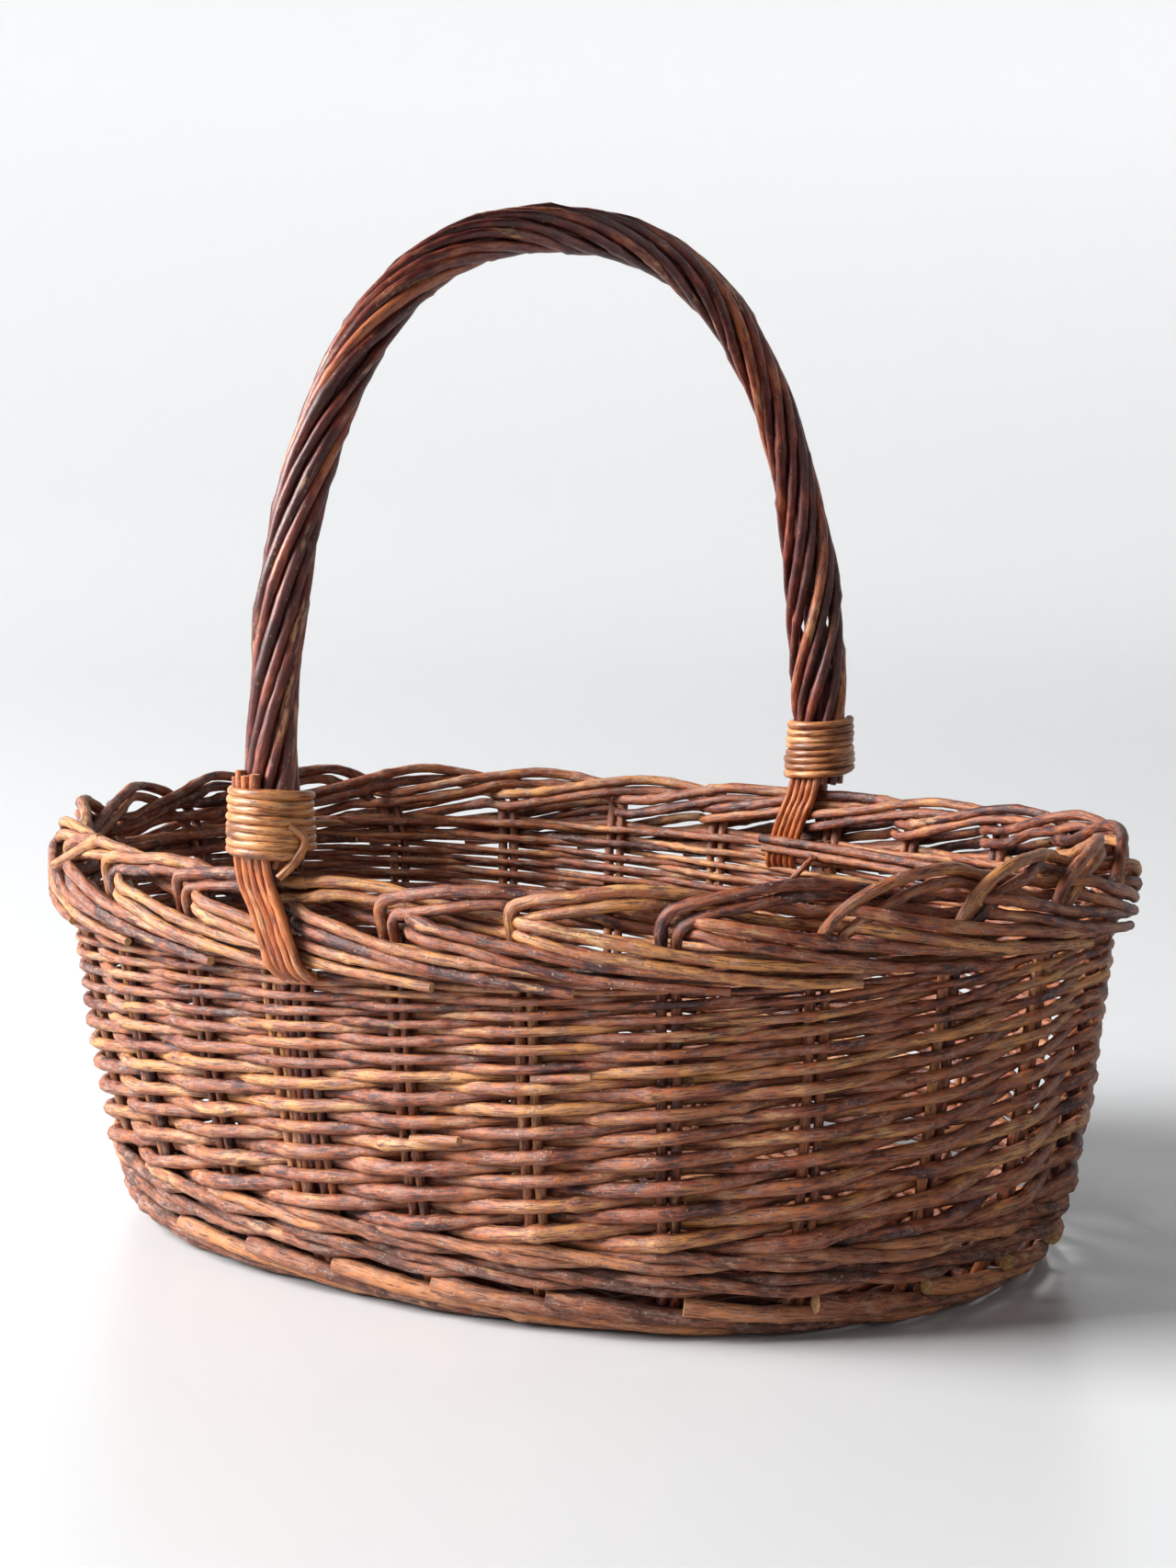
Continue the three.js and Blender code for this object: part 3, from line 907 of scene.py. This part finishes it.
# Handle: a bow with ten rods roped round it, bound at both feet
handle = {
    "power": 2.46,
    "foot": rimTop + 3.3 * mm,
    "bow": 11.0 * mm,
    "bowTip": 4.4 * mm,
    "bowBottom": 50 * mm,
    "step": 4.5 * mm,
    "rods": 10,
    "rod": 4.9 * mm,
    "nestle": 0.94,  # how far out a rope rod lies on the bow, as a share of its radius
    "turns": 3.25,
    "flare": 2.6 * mm,
    "flareLength": 42 * mm,
    "farFlare": 0.35,  # share of the bulge that is left under the far binding
    "farBulge": 3.3 * mm,
    "bulgeStart": 14 * mm,
    "bulgeGrowth": 30 * mm,
    "bulgeEnd": 80 * mm,
    "bulgeFade": 90 * mm,
    "wander": (0.9 * mm, 0.22),
}
handleHalf = ropeHigh.y - ropeHigh.x
handleTop = ropeHigh.z - ropeHigh.x
handleFoot = handle["foot"]


def hoopPoint(angle):
    c, s = math.cos(angle), math.sin(angle)
    power = 2 / handle["power"]
    y = -handleHalf * math.copysign(abs(c) ** power, c)
    return Vector((0, y, handleFoot + (handleTop - handleFoot) * abs(s) ** power))


hoop = evenLine([hoopPoint(math.pi * i / 900) for i in range(901)], handle["step"])
hoopLast = len(hoop) - 1
hoopLength = hoopLast * handle["step"]


# How far the rope stands off the bow: spread at its feet, bulging above the far binding
def ropeSpread(fromNear, fromFar):
    near = 1 - ease(fromNear / handle["flareLength"])
    far = 1 - ease(fromFar / handle["flareLength"])
    grown = ease((fromFar - handle["bulgeStart"]) / handle["bulgeGrowth"])
    left = 1 - ease((fromFar - handle["bulgeEnd"]) / handle["bulgeFade"])
    return handle["flare"] * near + handle["farBulge"] * (handle["farFlare"] * far + grown * left)


def strand(number):
    phase = 2 * math.pi * number / handle["rods"]
    seed = dice.uniform(0, 400)
    outwards, sideways = handle["wander"]
    acrossX = Vector((1, 0, 0))
    points = []
    for i, centre in enumerate(hoop):
        share = i / hoopLast
        tangent = (hoop[min(i + 1, hoopLast)] - hoop[max(i - 1, 0)]).normalized()
        inward = tangent.cross(acrossX).normalized()
        radius = handle["bow"] / 2 + handle["rod"] / 2 * handle["nestle"]
        radius += ropeSpread(share * hoopLength, (1 - share) * hoopLength)
        radius += sway(share * 14, seed, outwards)
        angle = phase + 2 * math.pi * handle["turns"] * share + sway(share * 9, seed + 30, sideways)
        points.append(centre + acrossX * radius * math.cos(angle) + inward * radius * math.sin(angle))
    # Every other rod has its butt at the near foot
    start, end = (1.07, 0.86) if number % 2 == 0 else (0.86, 1.07)
    thick = handle["rod"] / 2 * dice.uniform(0.94, 1.04)
    return makeRod(points, lambda share: thick * lerp(start, end, share), wobble=0.3 * mm)


for number in range(handle["rods"]):
    nodes = ["handle_rope"] if number == 0 else []
    addRods("rope_rod_%02d" % (number + 1), [strand(number)], handleWillow, 10, nodes)


def bowLine():
    line = [point.copy() for point in hoop]
    for side in (-1, 1):
        foot = []
        for i in range(7):
            height = lerp(handle["bowBottom"], borderBottom + 14 * mm, i / 6)
            reach = lerp(halfAt(height)[1], handleHalf, ease((i - 4) / 2))
            foot.append(Vector((0, side * reach, height)))
        line = foot + line if side < 0 else line + foot[::-1]
    return line


def bowRadius(share):
    fromEnd = min(share, 1 - share)
    return lerp(handle["bowTip"] / 2, handle["bow"] / 2, ease((fromEnd - 0.11) / 0.05))


addRods("bow", [makeRod(bowLine(), bowRadius, 0.3)], handleWillow, 10, ["handle_bow"])


# More rods stand beside the bow's foot in the weave: how far along, how thick, in mm, and the tone
footRods = [(-3.6, 3.6, 0.5), (4.4, 4.2, 0.05), (9.2, 4.0, 0.1)]


def footCluster(side):
    rods = []
    for x, thick, tone in footRods:
        points = []
        for i in range(8):
            height = lerp(12 * mm, borderBottom + 10 * mm, i / 7)
            points.append(Vector((x * mm, side * (halfAt(height)[1] + 0.3 * mm), height)))
        rods.append(makeRod(smoothLine(points, 5 * mm), evenRadius(thick * mm), tone))
    return rods


addRods("near_foot_rods", footCluster(-1), willow)
addRods("far_foot_rods", footCluster(1), willow)

# Bindings of pale rod round both feet of the handle
binding = {
    "rod": 3.9 * mm,
    "turns": 7.6,
    "lowWide": 18.2 * mm,
    "highWide": 16.8 * mm,
    "lowDeep": 17.2 * mm,
    "highDeep": 16.2 * mm,
    "farSlim": 0.91,
    "square": 0.92,
    "tilt": 0.7 * mm,
    "wander": (0.9 * mm, 0.5 * mm),
    "pointsPerTurn": 22,
    "nearTone": 0.5,
    "farTone": 0.2,
    # The end that crosses over the near one: mm along, mm nearer the middle, mm above its lower edge
    "loose": [(15.5, 6, 12), (19.0, 1, 7), (17.0, 5, -2), (12.5, 9, -8)],
    "looseTone": 0.35,
}


def bindingRods(side):
    boxLow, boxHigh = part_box("near_binding" if side < 0 else "far_binding")
    half = binding["rod"] / 2
    low, high = boxLow.z + half, boxHigh.z - half
    middleY = (boxLow.y + boxHigh.y) / 2
    seed = dice.uniform(0, 300)
    aside, up = binding["wander"]
    start, slim, tone = (0.0, 1, "nearTone") if side < 0 else (math.pi, binding["farSlim"], "farTone")
    points = []
    count = int(binding["turns"] * binding["pointsPerTurn"])
    for i in range(count + 1):
        share = i / count
        angle = 2 * math.pi * binding["turns"] * share + start
        wide = lerp(binding["lowWide"], binding["highWide"], share) - half
        wide = (wide + sway(angle * 0.35, seed, aside)) * slim
        deep = lerp(binding["lowDeep"], binding["highDeep"], share) - half
        c, s = math.cos(angle), math.sin(angle)
        level = lerp(low, high, share) + binding["tilt"] * s + sway(angle * 0.5, seed + 20, up)
        x = wide * math.copysign(abs(c) ** binding["square"], c)
        y = deep * math.copysign(abs(s) ** binding["square"], s)
        points.append(Vector((x, middleY + side * y, level)))
    rods = [makeRod(points, evenRadius(binding["rod"]), binding[tone], wobble=0.35 * mm)]
    if side < 0:
        loose = [Vector((x * mm, middleY - y * mm, low + z * mm)) for x, y, z in binding["loose"]]
        line = smoothLine(loose, 2 * mm)
        rods.append(makeRod(line, evenRadius(binding["rod"]), binding["looseTone"], wobble=0.1 * mm))
    return rods


addRods("near_binding_rod", bindingRods(-1), paleWillow, 10, ["near_binding"])
addRods("far_binding_rod", bindingRods(1), paleWillow, 10, ["far_binding"])

# Tails: rope rods that run on down over the border, outside at the near foot and inside at the far one
tails = {
    "count": 5,
    "near": {"rod": 3.9 * mm, "facing": 1, "tones": (0.55, 1.0)},
    "far": {"rod": 3.5 * mm, "facing": -1, "tones": (0.3, 0.9)},
    "lean": 13 * mm,
    "apart": 0.97,
    "start": (10.6 * mm, 26 * mm),
    "shoulder": (11.2 * mm, 8 * mm),
}


def tailRods(end, side):
    plan = tails[end]
    rod, facing = plan["rod"], plan["facing"]
    low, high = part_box(end + "_tails")
    face = abs(low.y if side * facing < 0 else high.y) - facing * rod * 0.6
    (startOut, startUp), (shoulderOut, shoulderUp) = tails["start"], tails["shoulder"]
    lean = -side * tails["lean"]
    rods = []
    for number in range(tails["count"]):
        x = (number - (tails["count"] - 1) / 2) * rod * tails["apart"]
        over = lerp(handleHalf + facing * 11.6 * mm, face, 0.5)
        shape = [
            (x * 0.95, handleHalf + facing * startOut, handleFoot + startUp),
            (x * 0.95, handleHalf + facing * shoulderOut, handleFoot + shoulderUp),
            (x + lean * 0.15, over, rimTop - 2 * mm),
            (x + lean * 0.45, face, rimTop - 11 * mm),
            (x + lean * 0.9, face - facing * 0.3 * mm, rimTop - 25 * mm),
            (x + lean * 1.2, face - facing * 2.0 * mm, borderBottom - 1 * mm),
            (x + lean * 1.35, face - facing * 7.0 * mm, borderBottom - 5 * mm),
        ]
        points = [Vector((a + dice.uniform(-0.15, 0.15) * mm, side * b, c)) for a, b, c in shape]
        tone = dice.uniform(*plan["tones"])
        rods.append(makeRod(smoothLine(points, 2.5 * mm), evenRadius(rod), tone, wobble=0.15 * mm))
    return rods


# Tips that stand up out of the near binding: mm along, mm out, mm up to the tip
tips = {
    "thick": 4.0 * mm,
    "bottom": 18,
    "places": [(-10.0, 7.5, 35), (-6.2, 9.6, 38), (-2.0, 10.8, 36), (2.2, 11.0, 37)],
    "tones": (0.7, 1.0),
}


def standingTip(x, out, top):
    points = []
    for i in range(4):
        level = handleFoot + lerp(tips["bottom"], top, i / 3) * mm
        points.append(Vector((x * mm * (1 + i / 30), -(handleHalf + out * mm), level)))
    line = smoothLine(points, 2.5 * mm)
    return makeRod(line, evenRadius(tips["thick"]), dice.uniform(*tips["tones"]))


nearRods = tailRods("near", -1)
nearRods += [standingTip(*place) for place in tips["places"]]
addRods("near_tail_rods", nearRods, tailWillow, 10, ["near_tails"])
addRods("far_tail_rods", tailRods("far", 1), tailWillow, 10, ["far_tails"])
print("handle roped and bound")

# Odd ends: a stub across the border at the left end, two thick ends and a twig by the far foot.
# Each runs from one place to another in uprights round, mm up and mm out
oddEnds = {
    "border_stub": {"from": (21.12, 159, 13), "to": (21.72, 175, 2), "thick": 5.6, "tone": 0.95},
    "upper_thick_end": {"from": (12.42, 151.5, -10), "to": (10.1, 143.5, -6), "thick": 4.4, "tone": 0.25},
    "lower_thick_end": {"from": (12.40, 147.0, -10), "to": (10.1, 138.5, -6), "thick": 4.2, "tone": 0.45},
    "loose_twig": {"from": (12.34, 121, -7), "to": (11.82, 145, -13), "thick": 2.8, "tone": 0.3},
}


def oddEnd(plan):
    line = []
    for i in range(7):
        station, height, out = (lerp(a, b, i / 6) for a, b in zip(plan["from"], plan["to"]))
        line.append(wallPoint(station, height * mm, out * mm))
    return makeRod(smoothLine(line, 2 * mm), evenRadius(plan["thick"] * mm), plan["tone"])


addRods("odd_rod_ends", [oddEnd(plan) for plan in oddEnds.values()], willow)


# Table and background in one: a floor that bends up all round into a low pale wall
room = {
    "floor": 3.4,
    "bend": 1.0,
    "bendSteps": 12,
    "wall": 2.2,
    "colour": (0.575, 0.58, 0.585),
    "rough": 0.32,
    "glow": 0.14,
    "glowFrom": 0.9,
    "behind": (-0.64, 0.77, 0.0),
    "elsewhere": 0.2,
    "segments": 96,
}


def addStage():
    shell = bmesh.new()
    edge = Vector((room["floor"], 0, 0))
    profile = [Vector((0, 0, 0)), edge]
    for i in range(1, room["bendSteps"] + 1):
        angle = math.pi / 2 * i / room["bendSteps"]
        profile.append(edge + Vector((math.sin(angle), 0, 1 - math.cos(angle))) * room["bend"])
    profile.append(profile[-1] + Vector((0, 0, room["wall"])))
    verts = [shell.verts.new(point) for point in profile]
    edges = [shell.edges.new(pair) for pair in zip(verts, verts[1:])]
    spin = {"cent": (0, 0, 0), "axis": (0, 0, 1), "angle": 2 * math.pi, "use_merge": True}
    bmesh.ops.spin(shell, geom=verts + edges, steps=room["segments"], **spin)
    bmesh.ops.remove_doubles(shell, verts=shell.verts, dist=1e-5)
    bmesh.ops.recalc_face_normals(shell, faces=shell.faces)
    for face in shell.faces:
        face.smooth = True
    mesh = bpy.data.meshes.new("table")
    shell.to_mesh(mesh)
    shell.free()
    mesh.materials.append(makeRoomLook())
    table = bpy.data.objects.new("table", mesh)
    scene.collection.objects.link(table)


# The wall glows a little, most of all on the side away from the front
def makeRoomLook():
    look, tree, shader = newLook("table_white")
    place = Wire(tree, tree.nodes.new("ShaderNodeTexCoord").outputs["Object"])
    flat = {0: place, 1: (1.0, 1.0, 0.0)}
    away = place.node("ShaderNodeVectorMath", flat, operation="MULTIPLY")
    away = away.node("ShaderNodeVectorMath", {0: away}, 1, operation="LENGTH")
    towards = {0: place, 1: room["behind"]}
    behind = place.node("ShaderNodeVectorMath", towards, 1, operation="DOT_PRODUCT")
    spread = (behind / away).between(0.3, 0.9) * (1 - room["elsewhere"]) + room["elsewhere"]
    glow = away.between(room["glowFrom"], room["floor"] + room["bend"]) * spread
    glow = glow.ramp([(0.0, (0.0, 0.0, 0.0)), (1.0, (1.0, 1.0, 1.0))])
    tree.links.new(glow.socket, shader.inputs["Emission Color"])
    shader.inputs["Emission Strength"].default_value = room["glow"]
    shader.inputs["Base Color"].default_value = (*room["colour"], 1.0)
    shader.inputs["Roughness"].default_value = room["rough"]
    return look


lights = {
    "window": {"place": (-2.45, -2.65, 2.4), "aim": (0, 0, 0.15), "size": 2.6, "power": 440},
}


def addLight(name, light):
    data = bpy.data.lights.new(name, "AREA")
    data.size = light["size"]
    data.energy = light["power"]
    lamp = bpy.data.objects.new(name, data)
    place = Vector(light["place"])
    aim = Vector(light["aim"]) - place
    lamp.matrix_world = Matrix.Translation(place) @ aim.to_track_quat("-Z", "Y").to_matrix().to_4x4()
    lamp.visible_camera = False
    scene.collection.objects.link(lamp)


# The room looks bright, and lights the basket only a little
def addRoom():
    world = bpy.data.worlds.new("soft_room")
    world.use_nodes = True
    tree = world.node_tree
    ground = tree.nodes["Background"]
    ground.inputs["Color"].default_value = (0.95, 0.97, 1.0, 1.0)
    seen = Wire(tree, tree.nodes.new("ShaderNodeLightPath").outputs["Is Camera Ray"])
    feed(tree, ground.inputs["Strength"], seen * 0.80 + 0.025)
    scene.world = world
    scene.view_settings.view_transform = "Standard"
    scene.view_settings.look = "Medium High Contrast"


addStage()
for name, light in lights.items():
    addLight(name, light)
addRoom()
print("table and lights placed")
